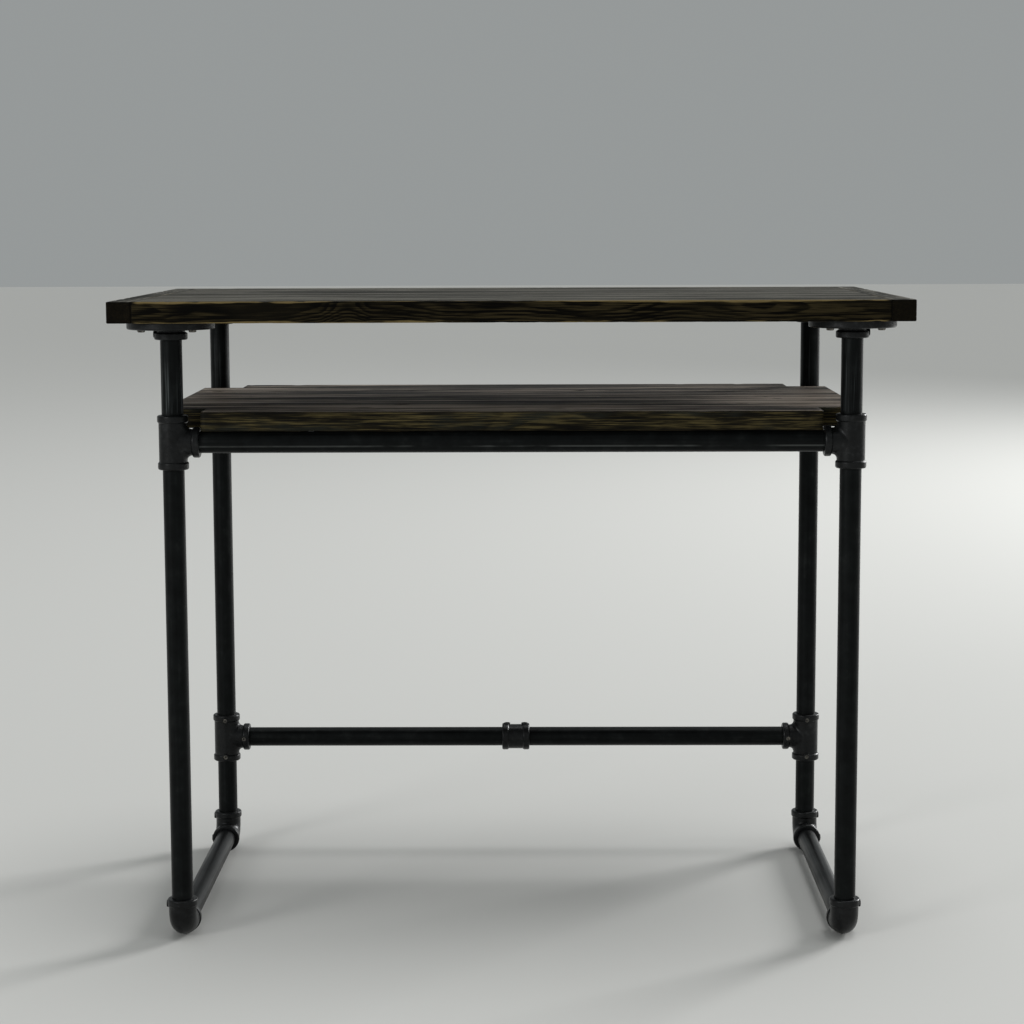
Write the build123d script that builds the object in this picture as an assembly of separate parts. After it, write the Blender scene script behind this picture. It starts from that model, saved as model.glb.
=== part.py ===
from build123d import *
import math
import os

# A pipe-frame desk with a plank shelf under its top. +X runs along the front edge, +Y runs from the
# front to the back and +Z is up. The origin is on the floor, under the middle of the top. Sizes are mm.

# Whole desk
top_width = 970.0
top_depth = 560.0
top_thickness = 26.0
top_underside = 776.0
leg_spacing_x = 832.0
leg_spacing_y = 446.0
rail_height = 628.0
stretcher_height = 161.0

# Steel pipe
pipe_radius = 13.35
pipe_bore_radius = 10.45
pipe_end_chamfer = 0.8

# Cast fittings: every socket ends in a rolled bead
body_radius = 17.4
branch_radius = 16.4
bead_radius = 19.0
bead_width = 8.0
bead_slope = 1.6
bead_rounding = 2.2
centre_to_end = 33.5
crotch_rounding = 6.0
socket_depth = 15.0
clamped_fit = 0.15
sliding_fit = 0.3
coupling_length = 39.0
coupling_web = 9.0

# Floor flanges under the top
flange_radius = 53.5
flange_plate = 9.0
flange_height = 22.0
flange_bead_radius = 20.3
flange_rounding = 2.0
flange_root_rounding = 1.5
flange_screw_circle = 88.0
flange_screw_count = 4
flange_first_screw = 45.0
flange_hole_radius = 2.7
leg_top_gap = 2.0

# Socket set screws, which sit in raised pads
screw_radius = 3.0
screw_length = 5.0
screw_hole_gap = 0.05
screw_hex_flats = 3.0
screw_hex_depth = 2.6
screw_point_chamfer = 0.6
screw_inset = 7.0
boss_radius = 4.6
boss_height = 0.8
boss_rounding = 0.5

# Pan-head wood screws through the flanges
wood_screw_radius = 2.1
wood_screw_length = 28.0
wood_screw_tip = 5.0
wood_screw_tip_radius = 0.4
pan_head_radius = 4.7
pan_head_height = 2.7
pan_head_rounding = 1.6
cross_slot_width = 1.1
cross_slot_length = 5.0
cross_slot_depth = 1.5
pilot_gap = 0.05

# Table top: a plank field inside front and rear strips, with an end board across each end
top_board_count = 4
end_board_width = 30.0
edge_strip_width = 19.0
corner_rounding = 3.0
edge_rounding = 1.4
seam_chamfer = 0.5

# Shelf
shelf_half_width = 435.0
shelf_thickness = 24.0
shelf_board_count = 4
shelf_board_width = 120.0
shelf_board_gap = 0.6
shelf_front_overhang = 6.0
shelf_corner_cut = 54.0
shelf_seat_gap = 0.05

leg_x = leg_spacing_x / 2
leg_y = leg_spacing_y / 2
foot_height = bead_radius
shoulder = centre_to_end - socket_depth
tiny = 0.01

STAND = (Align.CENTER, Align.CENTER, Align.MIN)
SIDES = {"left": -1, "right": 1}
ENDS = {"front": -1, "rear": 1}


def write(name, *solids):
    """Write one node. Several solids are kept apart as a group."""
    shape = solids[0] if len(solids) == 1 else Compound(children=list(solids))
    export_step(shape, f"parts/{name}.step")


# ---- Pipes ----


def pipe(length):
    """A straight pipe along +Z from the origin, with chamfered ends."""
    outside = chamfer(Cylinder(pipe_radius, length, align=STAND).edges(), pipe_end_chamfer)
    return outside - Cylinder(pipe_bore_radius, length, align=STAND)


# ---- Cast fittings ----


def round_corners(profile, radius, *places):
    """Round the corners of a flat profile that lie at the given places."""
    corners = [
        corner
        for corner in profile.vertices()
        if any(math.dist((corner.X, corner.Y), place) < tiny for place in places)
    ]
    return fillet(corners, radius)


def arm(reach, radius):
    """The outside of one arm of a fitting: a round neck along +Z that ends in a rolled bead."""
    bead_start = reach - bead_width
    outline = Polyline(
        (0, 0),
        (radius, 0),
        (radius, bead_start - bead_slope),
        (bead_radius, bead_start),
        (bead_radius, reach),
        (0, reach),
        close=True,
    )
    rims = ((bead_radius, bead_start), (bead_radius, reach))
    profile = round_corners(make_face(outline), bead_rounding, *rims)
    return revolve(Plane.XZ * profile, Axis.Z)


def screw_plane(along, facing, distance):
    """A plane whose origin is on a socket's axis and whose normal points out along its set screw."""
    axis = Vector(*along)
    return Plane(origin=axis * distance, z_dir=Vector(*facing))


def screw_boss(plane, surface_radius):
    """The raised pad round one set screw."""
    height = surface_radius + boss_height
    pad = Cylinder(boss_radius, height, align=STAND)
    pad = fillet(pad.edges().sort_by(Axis.Z)[-1], boss_rounding)
    return plane * pad


def screw_hole(plane):
    """The hole that one set screw runs in, from the socket's axis out past the pad."""
    return plane * Cylinder(screw_radius + screw_hole_gap, 2 * bead_radius, align=STAND)


def set_screw(plane, tip_radius):
    """A headless hexagon socket screw, whose tip is tip_radius from the socket's axis."""
    blank = Cylinder(screw_radius, screw_length, align=STAND)
    blank = chamfer(blank.edges().sort_by(Axis.Z)[0], screw_point_chamfer)
    hexagon = RegularPolygon(screw_hex_flats / 2, 6, major_radius=False)
    socket = Pos(0, 0, screw_length - screw_hex_depth) * extrude(hexagon, screw_hex_depth)
    return plane * Pos(0, 0, tip_radius) * (blank - socket)


def socket_bore(along):
    """The blind socket of one arm, from its shoulder out to its mouth."""
    bore = Cylinder(pipe_radius + clamped_fit, socket_depth, align=STAND)
    return Plane(origin=Vector(*along) * shoulder, z_dir=Vector(*along)) * bore


def curved_seams(body):
    """The edges where two crossing cylinders meet: the ones that are neither circles nor lines."""
    plain = (GeomType.CIRCLE, GeomType.LINE)
    return [edge for edge in body.edges() if edge.geom_type not in plain]


def tee(screw_facing):
    """A tee that slides on a leg along Z and holds a pipe along +X, with its three set screws."""
    branch = Rot(0, 90, 0) * arm(centre_to_end, branch_radius)
    run = arm(centre_to_end, body_radius) + Rot(180, 0, 0) * arm(centre_to_end, body_radius)
    body = run + branch
    body = fillet(curved_seams(body), crotch_rounding)

    run_screws = [screw_plane((0, 0, side), screw_facing, centre_to_end - screw_inset) for side in (1, -1)]
    branch_screw = screw_plane((1, 0, 0), screw_facing, centre_to_end - screw_inset)
    for plane in (*run_screws, branch_screw):
        body += screw_boss(plane, bead_radius)

    body -= Cylinder(pipe_radius + sliding_fit, 2 * centre_to_end + tiny)
    body -= Rot(0, 90, 0) * Cylinder(pipe_bore_radius, shoulder, align=STAND)
    body -= socket_bore((1, 0, 0))
    for plane in (*run_screws, branch_screw):
        body -= screw_hole(plane)

    screws = [set_screw(plane, pipe_radius + sliding_fit) for plane in run_screws]
    screws.append(set_screw(branch_screw, pipe_radius))
    return body, screws


def elbow(screw_facing):
    """A right-angle elbow with one socket up and one along +Y, with its two set screws."""
    turn = Axis((0, shoulder, shoulder), (1, 0, 0))
    upright = Pos(0, 0, shoulder) * Circle(body_radius)
    passage = Pos(0, 0, shoulder) * Circle(pipe_bore_radius)
    body = revolve(upright, turn, 90)
    beyond_bend = Pos(0, 0, shoulder) * Cylinder(2 * bead_radius, socket_depth, align=STAND)
    neck = arm(centre_to_end, body_radius) & beyond_bend
    body += neck
    body += Rot(-90, 0, 0) * neck

    screws_at = [
        screw_plane((0, 0, 1), screw_facing, centre_to_end - screw_inset),
        screw_plane((0, 1, 0), screw_facing, centre_to_end - screw_inset),
    ]
    for plane in screws_at:
        body += screw_boss(plane, bead_radius)
    body -= revolve(passage, turn, 90)
    body -= socket_bore((0, 0, 1))
    body -= socket_bore((0, 1, 0))
    for plane in screws_at:
        body -= screw_hole(plane)
    return body, [set_screw(plane, pipe_radius) for plane in screws_at]


def coupling(screw_facing):
    """A straight coupling along X that joins two pipes, with its two set screws."""
    half = coupling_length / 2
    depth = half - coupling_web / 2
    body = Rot(0, 90, 0) * arm(half, body_radius) + Rot(0, -90, 0) * arm(half, body_radius)
    screws_at = [screw_plane((side, 0, 0), screw_facing, half - screw_inset) for side in (1, -1)]
    for plane in screws_at:
        body += screw_boss(plane, bead_radius)
    body -= Rot(0, 90, 0) * Cylinder(pipe_bore_radius, coupling_length)
    for side in (1, -1):
        socket = Cylinder(pipe_radius + clamped_fit, depth)
        body -= Pos(side * (half - depth / 2), 0, 0) * Rot(0, 90, 0) * socket
    for plane in screws_at:
        body -= screw_hole(plane)
    return body, [set_screw(plane, pipe_radius) for plane in screws_at]


def flange_screw_spots():
    """Where the wood screws of a flange stand, measured from its leg's axis."""
    for index in range(flange_screw_count):
        angle = math.radians(flange_first_screw + index * 360 / flange_screw_count)
        yield flange_screw_circle / 2 * math.cos(angle), flange_screw_circle / 2 * math.sin(angle)


def flange(screw_facing):
    """A floor flange that hangs from the XY plane, with the set screw that grips its leg."""
    bead_start = flange_height - bead_width
    outline = Polyline(
        (0, 0),
        (flange_radius, 0),
        (flange_radius, flange_plate),
        (body_radius, flange_plate),
        (body_radius, bead_start - bead_slope),
        (flange_bead_radius, bead_start),
        (flange_bead_radius, flange_height),
        (0, flange_height),
        close=True,
    )
    profile = make_face(outline)
    profile = round_corners(profile, flange_root_rounding, (body_radius, flange_plate))
    profile = round_corners(
        profile,
        flange_rounding,
        (flange_radius, flange_plate),
        (flange_bead_radius, bead_start),
        (flange_bead_radius, flange_height),
    )
    body = Rot(180, 0, 0) * revolve(Plane.XZ * profile, Axis.Z)
    plane = screw_plane((0, 0, -1), screw_facing, flange_height - screw_inset)
    body += screw_boss(plane, flange_bead_radius)
    body -= Pos(0, 0, -flange_height / 2) * Cylinder(pipe_radius + clamped_fit, flange_height + tiny)
    body -= screw_hole(plane)
    for x, y in flange_screw_spots():
        body -= Pos(x, y, -flange_plate / 2) * Cylinder(flange_hole_radius, flange_plate * 2)
    return body, [set_screw(plane, pipe_radius)]


# ---- Wood screws ----


def wood_screw():
    """A pan-head screw that points up +Z, with its head just under the XY plane and a cross recess."""
    head = Cylinder(pan_head_radius, pan_head_height, align=STAND)
    head = Rot(180, 0, 0) * fillet(head.edges().sort_by(Axis.Z)[-1], pan_head_rounding)
    slot = Box(cross_slot_length, cross_slot_width, cross_slot_depth)
    cross = slot + Rot(0, 0, 90) * slot
    shank_length = wood_screw_length - wood_screw_tip
    shank = Cylinder(wood_screw_radius, shank_length, align=STAND)
    tip = Cone(wood_screw_radius, wood_screw_tip_radius, wood_screw_tip, align=STAND)
    recess = Pos(0, 0, cross_slot_depth / 2 - pan_head_height) * cross
    return head + shank + Pos(0, 0, shank_length) * tip - recess


def wood_screw_places():
    """Every place on the underside of the top's flanges where the head of a wood screw bears."""
    for side_x in SIDES.values():
        for side_y in ENDS.values():
            for x, y in flange_screw_spots():
                yield side_x * leg_x + x, side_y * leg_y + y


# ---- Boards ----


def plank(low_x, high_x, low_y, high_y, bottom, thickness):
    """A board given by its sides, its underside and its thickness, with lightly broken edges."""
    middle = Pos((low_x + high_x) / 2, (low_y + high_y) / 2, bottom)
    board = middle * Box(high_x - low_x, high_y - low_y, thickness, align=STAND)
    return chamfer(board.edges(), seam_chamfer)


def top_outline():
    """The outside of the whole table top, with worn corners and edges."""
    slab = Pos(0, 0, top_underside) * Box(top_width, top_depth, top_thickness, align=STAND)
    slab = fillet(slab.edges().filter_by(Axis.Z), corner_rounding)
    rims = slab.faces().sort_by(Axis.Z)[0].edges() + slab.faces().sort_by(Axis.Z)[-1].edges()
    return fillet(rims, edge_rounding)


def top_planks():
    """The name and the sides of every board in the table top."""
    field_x = top_width / 2 - end_board_width
    field_y = top_depth / 2 - edge_strip_width
    board_width = 2 * field_y / top_board_count
    for index in range(top_board_count):
        low_y = -field_y + index * board_width
        yield f"top_board_{index + 1}", (-field_x, field_x, low_y, low_y + board_width)
    yield "top_strip_front", (-field_x, field_x, -top_depth / 2, -field_y)
    yield "top_strip_rear", (-field_x, field_x, field_y, top_depth / 2)
    yield "top_end_left", (-top_width / 2, -field_x, -top_depth / 2, top_depth / 2)
    yield "top_end_right", (field_x, top_width / 2, -top_depth / 2, top_depth / 2)


def make_top():
    """The table top's boards, with a pilot hole for every flange screw."""
    outline = top_outline()
    depth = wood_screw_length - flange_plate
    drill = Cylinder(wood_screw_radius + pilot_gap, depth, align=STAND)
    for name, sides in top_planks():
        board = plank(*sides, top_underside, top_thickness) & outline
        for x, y in wood_screw_places():
            if sides[0] < x < sides[1] and sides[2] < y < sides[3]:
                board -= Pos(x, y, top_underside) * drill
        write(name, board)


def make_shelf():
    """The shelf's boards. The outer two have a square cut out of each end, to clear the legs and tees."""
    bottom = rail_height + pipe_radius + shelf_seat_gap
    front = -leg_y - shelf_front_overhang
    pitch = shelf_board_width + shelf_board_gap
    rear = front + shelf_board_count * pitch - shelf_board_gap
    cut = Box(2 * shelf_corner_cut, 2 * shelf_corner_cut, shelf_thickness, align=STAND)
    for index in range(shelf_board_count):
        low_y = front + index * pitch
        board = plank(
            -shelf_half_width, shelf_half_width, low_y, low_y + shelf_board_width, bottom, shelf_thickness
        )
        for side in SIDES.values():
            if index == 0:
                board -= Pos(side * shelf_half_width, front, bottom) * cut
            if index == shelf_board_count - 1:
                board -= Pos(side * shelf_half_width, rear, bottom) * cut
        write(f"shelf_board_{index + 1}", board)


# ---- Frame ----


def write_fitting(kind, corner, place, fitting):
    """Write a fitting and the group of set screws in it."""
    body, screws = fitting
    write(f"{kind}_{corner}", place * body)
    write(f"{kind}_set_screws_{corner}", *[place * screw for screw in screws])


def half_turn(side):
    """No turn for the left or front side, and half a turn about +Z for the right or rear one."""
    return Rot(0, 0, 0 if side < 0 else 180)


def make_corners():
    """At each corner: a leg, the elbow under it, the flange on it and the shelf's tee round it.

    Elbow and flange screws face away from the desk's middle along X, and tee screws face its inside
    along Y. A fitting that is turned has its screws turned with it, so they are given the other way.
    """
    leg_foot = foot_height + shoulder
    leg = pipe(top_underside - leg_top_gap - leg_foot)
    for end_name, end in ENDS.items():
        for side_name, side in SIDES.items():
            corner = f"{end_name}_{side_name}"
            axis = Pos(side * leg_x, end * leg_y, 0)
            at_foot = axis * Pos(0, 0, foot_height) * half_turn(end)
            at_rail = axis * Pos(0, 0, rail_height) * half_turn(side)
            at_top = axis * Pos(0, 0, top_underside)
            under_plate = at_top * Pos(0, 0, -flange_plate)
            write(f"leg_{corner}", axis * Pos(0, 0, leg_foot) * leg)
            write_fitting("elbow", corner, at_foot, elbow((-side * end, 0, 0)))
            write_fitting("shelf_tee", corner, at_rail, tee((0, side * end, 0)))
            write_fitting("flange", corner, at_top, flange((side, 0, 0)))
            wood_screws = [under_plate * Pos(x, y, 0) * wood_screw() for x, y in flange_screw_spots()]
            write(f"wood_screws_{corner}", *wood_screws)


def make_pipes():
    """The floor pipes, which run front to back, and the rails under the shelf, which run side to side."""
    foot = Rot(-90, 0, 0) * pipe(leg_spacing_y - 2 * shoulder)
    for side_name, side in SIDES.items():
        write(f"foot_pipe_{side_name}", Pos(side * leg_x, -leg_y + shoulder, foot_height) * foot)
    rail = Rot(0, 90, 0) * pipe(leg_spacing_x - 2 * shoulder)
    for end_name, end in ENDS.items():
        write(f"shelf_rail_{end_name}", Pos(-leg_x + shoulder, end * leg_y, rail_height) * rail)


def make_stretcher():
    """The low rear stretcher: a tee on each rear leg and two pipes joined by a coupling."""
    middle = Pos(0, leg_y, stretcher_height)
    body, screws = coupling((0, 0, 1))
    write("stretcher_coupling", middle * body)
    write("stretcher_coupling_set_screws", *[middle * screw for screw in screws])
    half_pipe = Rot(0, 90, 0) * pipe(leg_x - shoulder - coupling_web / 2)
    for side_name, side in SIDES.items():
        at_leg = middle * Pos(side * leg_x, 0, 0) * half_turn(side)
        write_fitting("stretcher_tee", side_name, at_leg, tee((0, side, 0)))
        write(f"stretcher_pipe_{side_name}", at_leg * Pos(shoulder, 0, 0) * half_pipe)


os.makedirs("parts", exist_ok=True)
make_corners()
make_pipes()
make_stretcher()
make_shelf()
make_top()
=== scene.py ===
import math
import random

import bmesh
import bpy
import numpy as np
from mathutils import Matrix, Vector


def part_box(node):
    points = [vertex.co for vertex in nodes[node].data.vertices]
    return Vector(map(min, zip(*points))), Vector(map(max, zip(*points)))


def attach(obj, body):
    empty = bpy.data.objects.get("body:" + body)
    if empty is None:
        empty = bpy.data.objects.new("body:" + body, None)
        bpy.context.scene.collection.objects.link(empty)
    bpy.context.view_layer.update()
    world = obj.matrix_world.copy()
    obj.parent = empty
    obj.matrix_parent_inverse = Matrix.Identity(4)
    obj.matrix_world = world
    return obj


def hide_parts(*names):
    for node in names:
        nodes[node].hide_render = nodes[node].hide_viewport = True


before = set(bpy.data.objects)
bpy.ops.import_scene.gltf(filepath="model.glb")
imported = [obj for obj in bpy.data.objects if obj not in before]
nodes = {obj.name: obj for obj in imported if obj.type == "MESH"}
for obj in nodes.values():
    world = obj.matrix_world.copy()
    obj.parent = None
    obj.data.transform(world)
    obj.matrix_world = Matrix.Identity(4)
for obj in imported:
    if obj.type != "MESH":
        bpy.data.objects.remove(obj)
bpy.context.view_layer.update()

# ---- Driving values: metres, degrees and watts, with the lens and its sensor in millimetres ----

MM = 0.001

CAMERA_PLACE = Vector((0.030, -3.116, 0.897))
CAMERA_HEADING = -0.59
CAMERA_DOWN = 7.02
CAMERA_ROLL = -0.20
CAMERA_LENS = 83.2
CAMERA_SENSOR = 36

FLOOR_SIZE = 60
FLOOR_COLOUR = (0.55, 0.55, 0.53, 1)
FLOOR_ROUGHNESS = 0.85

DESK_MIDDLE = Vector((0, 0, 0.5))
ROOM_COLOUR = (0.76, 0.80, 0.80, 1)
ROOM_LIGHT = 0.40
SUN_PLACE = (0.5, 0.2, 4.0)
SUN_STRENGTH = 1.15
SUN_SPREAD = 40
LAMPS = {
    "key": {"place": (6.0, 5.2, 3.0), "size": 2.6, "power": 560},
    "fill": {"place": (-4.0, -4.2, 2.3), "size": 1.8, "power": 85},
}


# ---- Node graph helper ----

# The sockets of a Mix node that carry colours
MIX_FIRST = 6
MIX_SECOND = 7
MIX_RESULT = 2


class Graph:
    """Short calls for building one material's node tree."""

    def __init__(self, name):
        self.material = bpy.data.materials.new(name)
        self.material.use_nodes = True
        self.tree = self.material.node_tree
        self.tree.nodes.clear()

    def add(self, kind, *values, out=0, **settings):
        """Add a node, set its properties, fill its first inputs and return one output."""
        node = self.tree.nodes.new(kind)
        for key, value in settings.items():
            setattr(node, key, value)
        for socket, value in zip(node.inputs, values):
            self.fill(socket, value)
        return node.outputs[out]

    def fill(self, socket, value):
        """Link a socket to another node's output, or set its value. None leaves it as it is."""
        if isinstance(value, bpy.types.NodeSocket):
            self.tree.links.new(value, socket)
        elif value is not None:
            socket.default_value = value

    def place(self):
        """The point on the object's surface, in its own coordinates."""
        return self.add("ShaderNodeTexCoord", out="Object")

    def axes(self, vector):
        """The three parts of a vector."""
        node = self.tree.nodes.new("ShaderNodeSeparateXYZ")
        self.fill(node.inputs[0], vector)
        return node.outputs

    def math(self, operation, *values):
        return self.add("ShaderNodeMath", *values, operation=operation)

    def times(self, first, second):
        return self.math("MULTIPLY", first, second)

    def weighted(self, *pairs):
        """The sum of each value times its weight, from (value, weight) pairs."""
        total = 0.0
        for value, weight in pairs:
            total = self.math("MULTIPLY_ADD", value, weight, total)
        return total

    def blend(self, tone, *pairs):
        """Move a tone by (value, weight) pairs, where each value's own middle is 0.5."""
        for value, weight in pairs:
            tone = self.math("MULTIPLY_ADD", self.math("SUBTRACT", value, 0.5), weight, tone)
        return tone

    def length(self, first, second):
        """The length of a line with these two parts."""
        squares = self.math("ADD", self.math("POWER", first, 2), self.math("POWER", second, 2))
        return self.math("SQRT", squares)

    def span(self, value, low, high, to_low=0.0, to_high=1.0):
        """Map low..high smoothly to to_low..to_high, held at the ends."""
        return self.add(
            "ShaderNodeMapRange", value, low, high, to_low, to_high, interpolation_type="SMOOTHSTEP"
        )

    def noise(self, vector, scale, detail, roughness):
        return self.add("ShaderNodeTexNoise", vector, None, scale, detail, roughness)

    def stretch(self, vector, scales, offset=(0, 0, 0)):
        return self.add("ShaderNodeMapping", vector, offset, (0, 0, 0), scales)

    def mix(self, amount, first, second):
        """Mix two colours."""
        node = self.tree.nodes.new("ShaderNodeMix")
        node.data_type = "RGBA"
        self.fill(node.inputs["Factor"], amount)
        self.fill(node.inputs[MIX_FIRST], first)
        self.fill(node.inputs[MIX_SECOND], second)
        return node.outputs[MIX_RESULT]

    def ramp(self, value, stops):
        """A colour ramp of (place, colour) stops."""
        node = self.tree.nodes.new("ShaderNodeValToRGB")
        self.fill(node.inputs[0], value)
        elements = node.color_ramp.elements
        while len(elements) < len(stops):
            elements.new(1.0)
        for element, (place, colour) in zip(elements, stops):
            element.position = place
            element.color = (*colour, 1.0)
        return node.outputs[0]

    def finish(self, colour, roughness, height, bump_distance, metallic=0.0, specular=0.5):
        """Add the surface shader, with relief from height, and return the material."""
        bump = self.tree.nodes.new("ShaderNodeBump")
        bump.inputs["Distance"].default_value = bump_distance
        bump.inputs["Strength"].default_value = 1.0
        self.fill(bump.inputs["Height"], height)
        shader = self.tree.nodes.new("ShaderNodeBsdfPrincipled")
        self.fill(shader.inputs["Base Color"], colour)
        self.fill(shader.inputs["Roughness"], roughness)
        shader.inputs["Metallic"].default_value = metallic
        shader.inputs["Specular IOR Level"].default_value = specular
        self.tree.links.new(bump.outputs[0], shader.inputs["Normal"])
        output = self.tree.nodes.new("ShaderNodeOutputMaterial")
        self.tree.links.new(shader.outputs[0], output.inputs["Surface"])
        return self.material


# ---- Wood ----

# Where the noise of one layer may start, on each axis
NOISE_SHIFT = 50

# Layers of noise in the grain: how tight each is along it and across it, and its detail
GRAIN_LAYERS = {
    "fibres": (16, 700, 3),
    "strands": (24, 420, 4),
    "pores": (34, 1500, 2),
    "streaks": (3.5, 95, 4),
    "bands": (2.2, 26, 3),
    "patches": (6.5, 22, 3),
}
RING_WOBBLE = (11, 60, 2)
RING_WOBBLE_DEPTH = 3.5 * MM
RUB_LAYER = (9, 120, 3)

# One growth ring, from 0 to 1: where its late wood darkens, and where it ends
LATE_START = (0.2, 0.8)
LATE_END = (0.86, 1.0, 1.0, 0.0)

# Knots: the share of the board they may lie in, and how many times longer than wide they are. Then,
# in knot sizes, how far off the rings start to bend and how far they bend, and where the dark core
# starts to fade and ends
KNOT_SPREAD = 0.8
KNOT_LENGTH = 2.0
KNOT_BEND_REACH = 3.4
KNOT_BEND = 2.2
KNOT_CORE = 0.25
KNOT_RIM = 0.9
KNOT_STRENGTH = 0.85

# How much each layer moves the tone of the sides, and of the worn upper face with its painted sheen
SIDE_WEIGHTS = {"fibres": 1.9, "strands": 1.1, "streaks": 0.7, "bands": 0.4}
TOP_STRAND_WEIGHT = 0.9
TOP_BAND_WEIGHT = 1.1
TOP_RING_SHARE = 1 / 3
BOARD_TONE = 0.5
BOARD_TONE_SPREAD = 0.05

# How much each layer adds to the relief and to the roughness
RING_RELIEF = 0.35
RELIEF_WEIGHTS = {"fibres": 0.5, "streaks": 0.9, "pores": -0.3}
ROUGHNESS_WEIGHTS = {"streaks": 1.0, "fibres": 0.4}

# The range of a layer, a distance or a facing over which each mark comes in, and its strength
PATCH_RANGE = (0.48, 0.62)
PATCH_STRENGTH = 0.7
FACING_RANGE = (0.75, 0.98)
END_STRENGTH = 0.72
# Painted shade near each edge of a board, as shade falls in the seams: strongest at the edge, gone a
# little way in
PAINTED_EDGE_SHADE = (0.4 * MM, 2.4 * MM, 0.65, 0.0)
RUB_RANGE = (0.35, 0.68)
RUB_SOFTNESS = (-0.4 * MM, 1.1 * MM)
RUB_END_FADE = (1 * MM, 9 * MM)
PORE_RANGE = (0.55, 0.68)
PORE_STRENGTH = 0.55
ROUGHNESS_RANGE = (0.35, 0.95)

# The two woods: the colour stops of the sides and of the worn upper face, which is lightened further as
# painted sheen, the colours of the patches, rubbed edges, end grain and knots (the knot colour also
# paints the shade near the edges), and the size, number or strength of each mark. loops is the layer that
# makes the rings wander by up to loop_depth, and ring is the width of one ring
TOP_WOOD = {
    "stain": (
        (0.30, (0.0012, 0.0009, 0.0004)),
        (0.50, (0.0062, 0.0048, 0.0019)),
        (0.82, (0.033, 0.0250, 0.0108)),
    ),
    "top_stain_and_sheen": (
        (0.20, (0.014, 0.0130, 0.0100)),
        (0.50, (0.048, 0.0455, 0.0375)),
        (0.82, (0.170, 0.162, 0.138)),
    ),
    "patch": (0.0065, 0.0052, 0.0026, 1),
    "edge": (0.20, 0.148, 0.062, 1),
    "edge_reach": 3.4 * MM,
    "end": (0.0035, 0.0026, 0.0014, 1),
    "knot": (0.0012, 0.0009, 0.0005, 1),
    "knot_size": (5 * MM, 8 * MM),
    "knots": 1,
    "top_wear_and_sheen": 0.94,
    "top_contrast": 1.6,
    "loops": (3.6, 7, 1, 0.4),
    "loop_depth": 50 * MM,
    "ring": 2.3 * MM,
    "ring_contrast": 0.34,
    "relief": 0.35 * MM,
    "roughness": (0.66, 0.50),
    "specular": 0.05,
}
SHELF_WOOD = {
    "stain": (
        (0.28, (0.0022, 0.0017, 0.0007)),
        (0.50, (0.0135, 0.0106, 0.0038)),
        (0.82, (0.090, 0.070, 0.027)),
    ),
    "top_stain_and_sheen": (
        (0.24, (0.014, 0.0115, 0.0090)),
        (0.50, (0.135, 0.112, 0.089)),
        (0.78, (0.44, 0.370, 0.305)),
    ),
    "patch": (0.019, 0.022, 0.0175, 1),
    "edge": (0.085, 0.066, 0.036, 1),
    "edge_reach": 1.4 * MM,
    "end": (0.010, 0.0075, 0.0040, 1),
    "knot": (0.0026, 0.0018, 0.0010, 1),
    "knot_size": (6 * MM, 10 * MM),
    "knots": 2,
    "top_wear_and_sheen": 0.98,
    "top_contrast": 2.1,
    "loops": (3.0, 7, 1, 0.4),
    "loop_depth": 34 * MM,
    "ring": 3.2 * MM,
    "ring_contrast": 0.13,
    "relief": 0.6 * MM,
    "roughness": (0.74, 0.48),
    "specular": 0.10,
}


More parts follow.
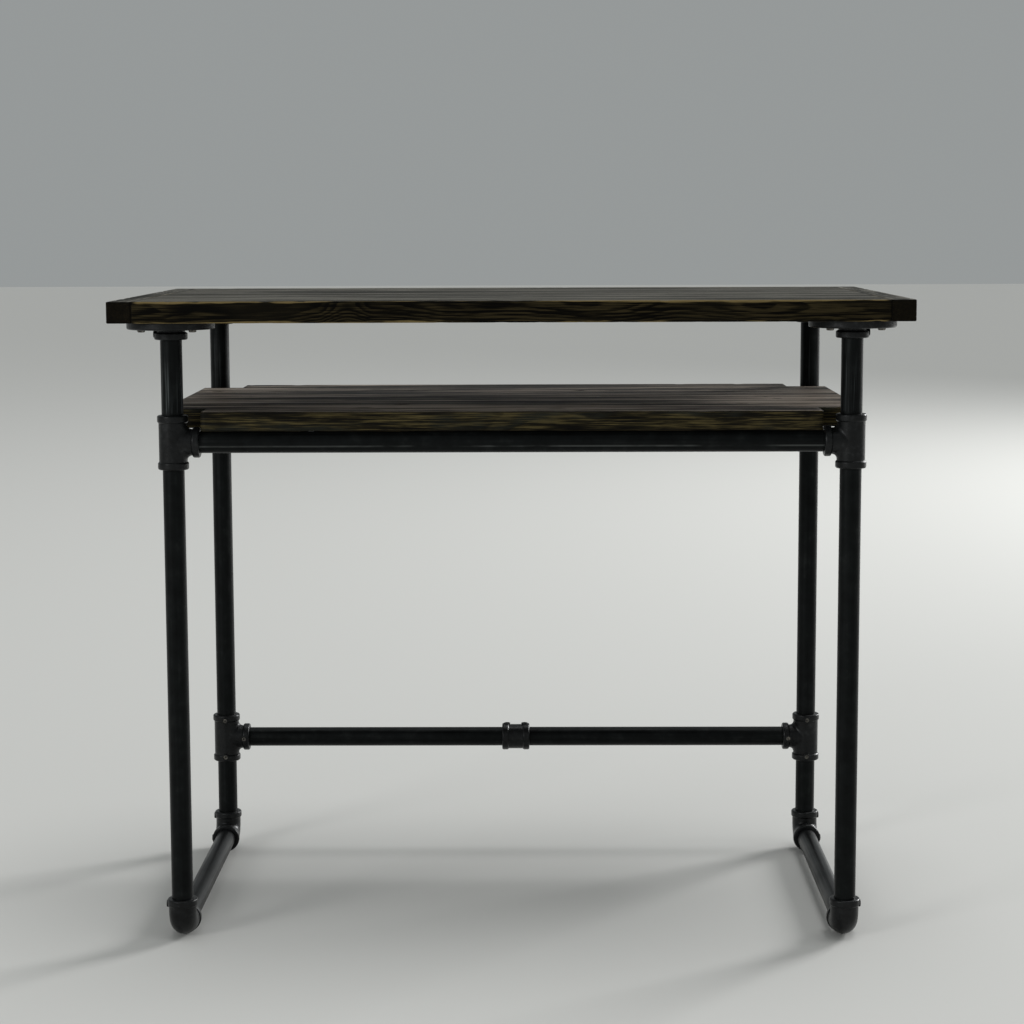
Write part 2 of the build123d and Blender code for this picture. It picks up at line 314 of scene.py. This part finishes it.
class Board(Graph):
    """The node tree of one board, with a point's place in it: run along the grain, across it and rise.

    low and high are the board's corners, and along is the axis of its grain (0 for X, 1 for Y).
    """

    def __init__(self, name, pick, low, high, along):
        super().__init__(name)
        self.pick = pick
        self.half = (high - low) / 2
        self.along = along
        middle = (low + high) / 2
        centred = self.add("ShaderNodeVectorMath", self.place(), tuple(middle), operation="SUBTRACT")
        self.centred = self.axes(centred)
        self.run = self.centred[along]
        self.across = self.centred[1 - along]
        self.rise = self.centred["Z"]
        self.grain = self.add("ShaderNodeCombineXYZ", self.run, self.across, self.rise)

    def streaky(self, lengthwise, sideways, detail, roughness=0.6):
        """Noise drawn out along the grain. It starts at a random place, so that no two boards match."""
        offset = tuple(self.pick.uniform(-NOISE_SHIFT, NOISE_SHIFT) for _ in range(3))
        scales = (lengthwise, sideways, sideways)
        return self.noise(self.stretch(self.grain, scales, offset), 1, detail, roughness)

    def from_side(self, axis):
        """How far the point is from the nearer side of the board on one axis."""
        return self.math("SUBTRACT", self.half[axis], self.math("ABSOLUTE", self.centred[axis]))

    def from_edge(self):
        """How far a point on the surface is from the nearest edge of the board: the middle one of its
        three distances from the sides."""
        gaps = [self.from_side(axis) for axis in range(3)]
        lower = self.math("MINIMUM", gaps[0], gaps[1])
        upper = self.math("MAXIMUM", gaps[0], gaps[1])
        return self.math("MAXIMUM", lower, self.math("MINIMUM", upper, gaps[2]))

    def add_knots(self, radius, count, sizes):
        """Bend the growth rings round each knot. Returns the bent radius and a mask of the knots."""
        mask = 0.0
        for _ in range(count):
            spot_run = self.pick.uniform(-KNOT_SPREAD, KNOT_SPREAD) * self.half[self.along]
            spot_across = self.pick.uniform(-KNOT_SPREAD, KNOT_SPREAD) * self.half[1 - self.along]
            size = self.pick.uniform(*sizes)
            far_run = self.math("DIVIDE", self.math("SUBTRACT", self.run, spot_run), KNOT_LENGTH)
            far = self.length(far_run, self.math("SUBTRACT", self.across, spot_across))
            near = self.span(far, 0.0, size * KNOT_BEND_REACH, 1.0, 0.0)
            radius = self.math("MULTIPLY_ADD", near, size * KNOT_BEND, radius)
            core = self.span(far, size * KNOT_CORE, size * KNOT_RIM, 1.0, 0.0)
            mask = self.math("MAXIMUM", mask, core)
        return radius, mask

    def growth_rings(self, pith, look):
        """The dark late wood of each ring round a wandering pith, and a mask of the knots. pith is the
        rings' centre beside the board's middle, as (across, height)."""
        away = self.math("SUBTRACT", self.across, pith[0])
        depth = self.math("SUBTRACT", self.rise, pith[1])
        radius = self.length(away, depth)
        radius = self.math("MULTIPLY_ADD", self.streaky(*look["loops"]), look["loop_depth"], radius)
        radius = self.math("MULTIPLY_ADD", self.streaky(*RING_WOBBLE), RING_WOBBLE_DEPTH, radius)
        radius, knots = self.add_knots(radius, look["knots"], look["knot_size"])
        ring = self.math("FRACT", self.math("DIVIDE", radius, look["ring"]))
        late = self.times(self.span(ring, *LATE_START), self.span(ring, *LATE_END))
        return late, knots

    def rubbed_edges(self, look, edge_wear):
        """How far the stain is rubbed off near the long edges, in broken stretches."""
        broken = self.span(self.streaky(*RUB_LAYER), *RUB_RANGE)
        inside = self.math("SUBTRACT", self.times(broken, look["edge_reach"]), self.from_edge())
        rubbed = self.times(self.span(inside, *RUB_SOFTNESS), edge_wear)
        return self.times(rubbed, self.span(self.from_side(self.along), *RUB_END_FADE))


def weigh(layers, weights):
    """The (value, weight) pairs of the layers that are named in weights."""
    return [(layers[key], weight) for key, weight in weights.items()]


def wood(name, pick, low, high, along, pith, look, edge_wear):
    """Stained wood for one board: growth rings, fibres, knots, a worn upper face lightened by painted
    sheen, painted shade near the edges and rubbed edges.
    """
    board = Board(name, pick, low, high, along)
    late, knots = board.growth_rings(pith, look)
    layers = {key: board.streaky(*shape) for key, shape in GRAIN_LAYERS.items()}
    board_tone = BOARD_TONE + pick.uniform(-BOARD_TONE_SPREAD, BOARD_TONE_SPREAD)

    ring_weight = -look["ring_contrast"]
    side_tone = board.blend(board_tone, (late, ring_weight), *weigh(layers, SIDE_WEIGHTS))
    stain = board.ramp(side_tone, look["stain"])
    patches = board.times(board.span(layers["patches"], *PATCH_RANGE), PATCH_STRENGTH)
    stain = board.mix(patches, stain, look["patch"])

    facing = board.axes(board.add("ShaderNodeNewGeometry", out="Normal"))
    end_grain = board.span(board.math("ABSOLUTE", facing[along]), *FACING_RANGE)
    stain = board.mix(board.times(end_grain, END_STRENGTH), stain, look["end"])
    band_weight = TOP_BAND_WEIGHT * look["top_contrast"]
    top_tone = board.blend(
        board_tone,
        (late, ring_weight * TOP_RING_SHARE),
        (layers["strands"], TOP_STRAND_WEIGHT),
        (layers["streaks"], band_weight),
        (layers["bands"], band_weight),
    )
    # Upward faces take the paler upper-face colours: real wear, lightened further as painted sheen
    worn_and_sheen_top = board.times(board.span(facing["Z"], *FACING_RANGE), look["top_wear_and_sheen"])
    stain = board.mix(worn_and_sheen_top, stain, board.ramp(top_tone, look["top_stain_and_sheen"]))

    # Painted shade: darken the wood near every edge of the board with the knot colour, as shade in the
    # seams
    stain = board.mix(board.span(board.from_edge(), *PAINTED_EDGE_SHADE), stain, look["knot"])
    stain = board.mix(board.rubbed_edges(look, edge_wear), stain, look["edge"])
    stain = board.mix(board.times(knots, KNOT_STRENGTH), stain, look["knot"])
    pores = board.times(board.span(layers["pores"], *PORE_RANGE), PORE_STRENGTH)
    stain = board.mix(pores, stain, look["knot"])

    relief = board.weighted((late, RING_RELIEF), *weigh(layers, RELIEF_WEIGHTS))
    dullness = board.weighted(*weigh(layers, ROUGHNESS_WEIGHTS))
    roughness = board.span(dullness, *ROUGHNESS_RANGE, *look["roughness"])
    return board.finish(stain, roughness, relief, look["relief"], specular=look["specular"])


# ---- Boards ----

# How the CAD boards are welded, flattened and cut
WELD_DISTANCE = 0.01 * MM
FLAT_ANGLE = math.radians(0.5)
CUT_TOLERANCE = 0.001 * MM

# Hollows: waves added up, and their turns in radians per metre along and across the grain
WAVES = 6
WAVE_ALONG = (2, 11)
WAVE_ACROSS = (25, 160)
FLAT_FACING = 0.99

# Dents on the long edges. A push of 0.7 on both axes drives a dent in at 45 degrees
DENT_PUSH = 0.7
DENT_RADIUS = (3.0 * MM, 9.0 * MM)
DENT_DEPTH = (0.25 * MM, 0.9 * MM)
DENT_SQUASH = (0.35, 1.0)

# The spacing of the cuts, along and across the grain
WIDE_GRID = (6 * MM, 5 * MM)
NARROW_GRID = (3 * MM, 2.4 * MM)

# Each kind of board: what it rides on, its wood and grid, how deep its hollows are, its number of
# dents and how rubbed its edges are
FIELD_BOARD = {
    "body": "stand",
    "slot": "top_wood",
    "look": TOP_WOOD,
    "grid": WIDE_GRID,
    "swell": 0.10 * MM,
    "dents": 0,
    "edge_wear": 0.1,
}
SHELF_BOARD = {
    "body": "shelf_unit",
    "slot": "shelf_wood",
    "look": SHELF_WOOD,
    "grid": WIDE_GRID,
    "swell": 0.25 * MM,
    "dents": 26,
    "edge_wear": 0.5,
}
STRIP_BOARD = {
    "body": "stand",
    "slot": "top_wood",
    "look": TOP_WOOD,
    "grid": NARROW_GRID,
    "swell": 0.04 * MM,
    "dents": 46,
    "edge_wear": 0.9,
}
END_BOARD = {**STRIP_BOARD, "dents": 26, "edge_wear": 0.3}

# Where the rings' centre lies from each board's middle, as (across, height). Boards take turns to
# have it on one side and on the other, apart from the shelf's
FIELD_PITH = (18 * MM, -45 * MM)
SHELF_PITH = (36 * MM, 12 * MM)
STRIP_PITH = (18 * MM, 8 * MM)
END_PITH = (30 * MM, -30 * MM)

# The random seed of the first board of each kind
FIELD_SEED = 11
SHELF_SEED = 31
STRIP_SEED = 51
END_SEED = 61

# The planks side by side in the top's field, and as many again in the shelf
PLANKS = 4


def sliced_copy(node, name, low, high, along, grid):
    """A copy of a CAD board cut into a fine, even grid, so that its surface can be worked."""
    work = bmesh.new()
    work.from_mesh(nodes[node].data)
    bmesh.ops.remove_doubles(work, verts=work.verts, dist=WELD_DISTANCE)
    bmesh.ops.dissolve_limit(work, angle_limit=FLAT_ANGLE, verts=work.verts, edges=work.edges)
    for axis in (along, 1 - along, 2):
        step = grid[0] if axis == along else grid[1]
        cuts = max(2, round((high[axis] - low[axis]) / step))
        normal = Vector((0, 0, 0))
        normal[axis] = 1
        for index in range(1, cuts):
            place = Vector((0, 0, 0))
            place[axis] = low[axis] + (high[axis] - low[axis]) * index / cuts
            everything = work.verts[:] + work.edges[:] + work.faces[:]
            bmesh.ops.bisect_plane(
                work, geom=everything, dist=CUT_TOLERANCE, plane_co=place, plane_no=normal
            )
    mesh = bpy.data.meshes.new(name)
    work.to_mesh(mesh)
    work.free()
    mesh.polygons.foreach_set("use_smooth", [True] * len(mesh.polygons))
    piece = bpy.data.objects.new(name, mesh)
    bpy.context.scene.collection.objects.link(piece)
    return piece


def sink_hollows(points, normals, pick, along, swell):
    """Sink the upper and lower faces in long shallow waves, by up to swell."""
    wave = np.zeros(len(points))
    for _ in range(WAVES):
        phase = points[:, along] * pick.uniform(*WAVE_ALONG)
        phase += points[:, 1 - along] * pick.uniform(*WAVE_ACROSS)
        wave += np.sin(phase + pick.uniform(0, math.tau))
    sink = swell * (0.5 + wave / (2 * WAVES))
    flat = np.abs(normals[:, 2]) > FLAT_FACING
    points[flat, 2] -= (np.sign(normals[:, 2]) * sink)[flat]


def press_dent(points, low, high, pick, along):
    """Press one dent into a random spot on one of the long edges."""
    inward = np.zeros(3)
    spot = np.zeros(3)
    for axis in (1 - along, 2):
        at_high = pick.random() < 0.5
        spot[axis] = high[axis] if at_high else low[axis]
        inward[axis] = -DENT_PUSH if at_high else DENT_PUSH
    spot[along] = pick.uniform(low[along], high[along])
    radius = pick.uniform(*DENT_RADIUS)
    depth = pick.uniform(*DENT_DEPTH)
    squash = np.ones(3)
    squash[along] = pick.uniform(*DENT_SQUASH)
    far = np.linalg.norm((points - spot) * squash, axis=1) / radius
    points += np.outer(depth * np.clip(1 - far**2, 0, None) ** 2, inward)


def weather(mesh, low, high, pick, along, swell, dents):
    """Work the board's shape, and keep it inside the CAD board's box."""
    count = len(mesh.vertices)
    points = np.empty(count * 3)
    normals = np.empty(count * 3)
    mesh.vertices.foreach_get("co", points)
    mesh.vertices.foreach_get("normal", normals)
    points = points.reshape(count, 3)
    normals = normals.reshape(count, 3)

    sink_hollows(points, normals, pick, along, swell)
    for _ in range(dents):
        press_dent(points, low, high, pick, along)

    points = np.clip(points, np.array(low), np.array(high))
    mesh.vertices.foreach_set("co", points.reshape(-1))
    mesh.update()


def make_board(node, pith, seed, body, slot, look, grid, swell, dents, edge_wear):
    """Replace one CAD board by a detailed one."""
    pick = random.Random(seed)
    low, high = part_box(node)
    size = high - low
    along = 0 if size.x > size.y else 1
    piece = sliced_copy(node, f"wood_{node}", low, high, along, grid)
    weather(piece.data, low, high, pick, along, swell, dents)
    piece.modifiers.new("even_shading", "WEIGHTED_NORMAL")
    piece.data.materials.append(wood(f"grain_{node}", pick, low, high, along, pith, look, edge_wear))
    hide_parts(node)
    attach(piece, body)


def turned(pith, index):
    """The rings' centre on one side for even boards and on the other for odd ones."""
    return pith[0] * (-1) ** index, pith[1]


def make_boards():
    """Every board of the top and the shelf."""
    for index in range(PLANKS):
        make_board(f"top_board_{index + 1}", turned(FIELD_PITH, index), FIELD_SEED + index, **FIELD_BOARD)
        make_board(f"shelf_board_{index + 1}", SHELF_PITH, SHELF_SEED + index, **SHELF_BOARD)
    for index, node in enumerate(("top_strip_front", "top_strip_rear")):
        make_board(node, turned(STRIP_PITH, index), STRIP_SEED + index, **STRIP_BOARD)
    for index, node in enumerate(("top_end_left", "top_end_right")):
        make_board(node, turned(END_PITH, index), END_SEED + index, **END_BOARD)


# ---- Metal ----

# Where most of a noise's values lie
NOISE_RANGE = (0.3, 0.7)

# Pipe: noises as (scale, detail, roughness), with the drawn streaks' scale along and across the pipe
PIPE_TONES = (
    (0.30, (0.0032, 0.0036, 0.0036)),
    (0.55, (0.0075, 0.0087, 0.0088)),
    (0.80, (0.022, 0.024, 0.0235)),
)
DRAWN_ALONG = 5
DRAWN_ACROSS = 320
DRAWN_NOISE = (1, 4, 0.6)
MOTTLE_NOISE = (55, 4, 0.6)
CLOUD_NOISE = (9, 2, 0.5)
PIPE_ROUGHNESS = (0.30, 0.52)
PIPE_RELIEF = 0.12 * MM

# Scratches where a tee was slid up a leg
SCRATCH_SCALES = (700, 700, 7)
SCRATCH_NOISE = (1, 2, 0.5)
SCRATCH_RANGE = (0.55, 0.68)
SCRATCH_HEIGHT = 85 * MM
SCRATCH_START = 6 * MM
SCRATCH_FADE = 50 * MM
SCRATCH_STRENGTH = 0.6
SCRATCH_COLOUR = (0.085, 0.095, 0.098, 1)

# A painted highlight on the front rail: a broken pale line below the rail's middle, standing in for a
# reflection
PAINTED_HIGHLIGHT_DROP = 4.5 * MM
PAINTED_HIGHLIGHT_WIDTH = (0.5 * MM, 1.5 * MM, 1.0, 0.0)
PAINTED_HIGHLIGHT_SCALES = (14, 40, 40)
PAINTED_HIGHLIGHT_NOISE = (1, 3, 0.6)
PAINTED_HIGHLIGHT_RANGE = (0.38, 0.62)
PAINTED_HIGHLIGHT_STRENGTH = 0.7
PAINTED_HIGHLIGHT_COLOUR = (0.075, 0.080, 0.078, 1)

# Castings
CAST_TONES = (
    (0.32, (0.004, 0.0042, 0.0044)),
    (0.55, (0.0100, 0.0108, 0.0112)),
    (0.78, (0.036, 0.038, 0.039)),
)
SAND_NOISE = (900, 3, 0.65)
LUMP_NOISE = (170, 3, 0.55)
STAIN_NOISE = (38, 3, 0.6)
CAST_ROUGHNESS = (0.25, 0.46)
CAST_RELIEF = 0.28 * MM

# Screws
SCREW_TONES = (
    (0.35, (0.05, 0.048, 0.044)),
    (0.55, (0.16, 0.15, 0.135)),
    (0.75, (0.34, 0.32, 0.28)),
)
GRIT_NOISE = (1400, 3, 0.6)
WORN_NOISE = (260, 2, 0.5)
SCREW_ROUGHNESS = (0.28, 0.48)
SCREW_RELIEF = 0.05 * MM


def add_scratches(graph, place, colour, low):
    """Bright upright scratches on a leg, that start at the height low and fade out above it."""
    height = graph.axes(place)["Z"]
    high = low + SCRATCH_HEIGHT
    scores = graph.noise(graph.stretch(place, SCRATCH_SCALES), *SCRATCH_NOISE)
    inside = graph.times(
        graph.span(height, low, low + SCRATCH_START),
        graph.span(height, high - SCRATCH_FADE, high, 1.0, 0.0),
    )
    worn = graph.times(inside, graph.span(scores, *SCRATCH_RANGE))
    return graph.mix(graph.times(worn, SCRATCH_STRENGTH), colour, SCRATCH_COLOUR)


def add_painted_highlight_line(graph, place, colour, middle):
    """A painted highlight: a pale, broken line along X, on the front of a pipe whose middle is given."""
    axes = graph.axes(place)
    off = graph.math("ABSOLUTE", graph.math("SUBTRACT", axes["Z"], middle.z - PAINTED_HIGHLIGHT_DROP))
    in_front = graph.math("LESS_THAN", axes["Y"], middle.y)
    broken = graph.noise(graph.stretch(place, PAINTED_HIGHLIGHT_SCALES), *PAINTED_HIGHLIGHT_NOISE)
    line = graph.times(graph.span(off, *PAINTED_HIGHLIGHT_WIDTH), in_front)
    line = graph.times(line, graph.span(broken, *PAINTED_HIGHLIGHT_RANGE))
    return graph.mix(graph.times(line, PAINTED_HIGHLIGHT_STRENGTH), colour, PAINTED_HIGHLIGHT_COLOUR)


def pipe_steel(name, axis, scratched_from=None, highlight_middle=None):
    """Black mill-finish pipe along one axis: faint long streaks and mottling, with scratches above a
    height or a painted highlight line where they are asked for."""
    graph = Graph(name)
    place = graph.place()
    scales = [DRAWN_ACROSS] * 3
    scales[axis] = DRAWN_ALONG
    drawn = graph.noise(graph.stretch(place, scales), *DRAWN_NOISE)
    mottle = graph.noise(place, *MOTTLE_NOISE)
    cloud = graph.noise(place, *CLOUD_NOISE)
    colour = graph.ramp(graph.weighted((drawn, 0.4), (mottle, 0.6)), PIPE_TONES)
    dullness = graph.weighted((cloud, 0.5), (drawn, 0.5))
    roughness = graph.span(dullness, *NOISE_RANGE, *PIPE_ROUGHNESS)
    if scratched_from is not None:
        colour = add_scratches(graph, place, colour, scratched_from)
    # A pale line painted on as a highlight, where it is asked for
    if highlight_middle is not None:
        colour = add_painted_highlight_line(graph, place, colour, highlight_middle)
    relief = graph.weighted((drawn, 0.5), (mottle, 0.5))
    return graph.finish(colour, roughness, relief, PIPE_RELIEF, metallic=0.6, specular=0.15)


def cast_iron(name):
    """Black malleable casting: a sandy skin with paler stains."""
    graph = Graph(name)
    place = graph.place()
    sand = graph.noise(place, *SAND_NOISE)
    lumps = graph.noise(place, *LUMP_NOISE)
    stains = graph.noise(place, *STAIN_NOISE)
    colour = graph.ramp(graph.weighted((stains, 0.5), (lumps, 0.5)), CAST_TONES)
    roughness = graph.span(sand, *NOISE_RANGE, *CAST_ROUGHNESS)
    relief = graph.weighted((lumps, 0.55), (sand, 0.45))
    return graph.finish(colour, roughness, relief, CAST_RELIEF, metallic=0.45, specular=0.32)


def screw_steel(name):
    """Black oxide screws with brighter rubbed patches."""
    graph = Graph(name)
    place = graph.place()
    grit = graph.noise(place, *GRIT_NOISE)
    colour = graph.ramp(graph.noise(place, *WORN_NOISE), SCREW_TONES)
    roughness = graph.span(grit, *NOISE_RANGE, *SCREW_ROUGHNESS)
    return graph.finish(colour, roughness, grit, SCREW_RELIEF, metallic=0.85)


def paint_metal():
    """Give every steel and iron CAD node its material."""
    tee_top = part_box("shelf_tee_front_left")[1].z
    rail_low, rail_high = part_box("shelf_rail_front")
    plain_pipe = pipe_steel("pipe_side_to_side", 0)
    finishes = {
        "leg": pipe_steel("pipe_upright", 2, scratched_from=tee_top),
        "foot_pipe": pipe_steel("pipe_front_to_back", 1),
        # The front rail gets a painted highlight: a pale line standing in for a reflection
        "shelf_rail_front": pipe_steel("pipe_painted_highlight", 0, highlight_middle=(rail_low + rail_high) / 2),
        "shelf_rail_rear": plain_pipe,
        "stretcher_pipe": plain_pipe,
    }
    iron = cast_iron("cast_fittings")
    screws = screw_steel("screws")
    for name, node in nodes.items():
        if "board" in name or name.startswith("top_"):
            continue
        kind = next((key for key in finishes if name.startswith(key)), None)
        finish = screws if "screws" in name else finishes.get(kind, iron)
        node.data.materials.clear()
        node.data.materials.append(finish)


# ---- Stage, lights and camera ----


def make_floor():
    bpy.ops.mesh.primitive_plane_add(size=FLOOR_SIZE)
    floor = bpy.context.object
    floor.name = "floor"
    material = bpy.data.materials.new("floor_pale")
    material.use_nodes = True
    shader = material.node_tree.nodes["Principled BSDF"]
    shader.inputs["Base Color"].default_value = FLOOR_COLOUR
    shader.inputs["Roughness"].default_value = FLOOR_ROUGHNESS
    floor.data.materials.append(material)


def add_light(name, kind, place, power):
    """A lamp aimed at the middle of the desk. Returns its data, for its size to be set."""
    lamp = bpy.data.lights.new(name, kind)
    lamp.energy = power
    light = bpy.data.objects.new(name, lamp)
    light.location = place
    light.rotation_euler = (DESK_MIDDLE - light.location).to_track_quat("-Z", "Y").to_euler()
    bpy.context.scene.collection.objects.link(light)
    return lamp


def make_lights():
    """A wide overhead light, a key from the right and behind, a weak fill and a pale room."""
    bpy.context.scene.view_settings.view_transform = "Standard"
    world = bpy.data.worlds.new("room")
    bpy.context.scene.world = world
    world.use_nodes = True
    background = world.node_tree.nodes["Background"]
    background.inputs["Color"].default_value = ROOM_COLOUR
    background.inputs["Strength"].default_value = ROOM_LIGHT
    sun = add_light("overhead", "SUN", SUN_PLACE, SUN_STRENGTH)
    sun.angle = math.radians(SUN_SPREAD)
    for name, setting in LAMPS.items():
        lamp = add_light(name, "AREA", setting["place"], setting["power"])
        lamp.shape = "DISK"
        lamp.size = setting["size"]


def make_camera():
    """The photograph's viewpoint: straight on to the front, slightly from above."""
    heading = math.radians(CAMERA_HEADING)
    down = math.radians(CAMERA_DOWN)
    roll = math.radians(CAMERA_ROLL)
    level_ahead = Vector((math.sin(heading), math.cos(heading), 0))
    ahead = level_ahead * math.cos(down) - Vector((0, 0, math.sin(down)))
    right = Vector((math.cos(heading), -math.sin(heading), 0))
    up = right.cross(ahead)
    turned_right = right * math.cos(roll) + up * math.sin(roll)
    turned_up = up * math.cos(roll) - right * math.sin(roll)
    facing = Matrix((turned_right, turned_up, -ahead)).transposed()
    data = bpy.data.cameras.new("camera")
    data.lens = CAMERA_LENS
    data.sensor_width = CAMERA_SENSOR
    camera = bpy.data.objects.new("camera", data)
    camera.matrix_world = Matrix.Translation(CAMERA_PLACE) @ facing.to_4x4()
    bpy.context.scene.collection.objects.link(camera)
    bpy.context.scene.camera = camera


make_camera()
make_lights()
make_floor()
make_boards()
paint_metal()
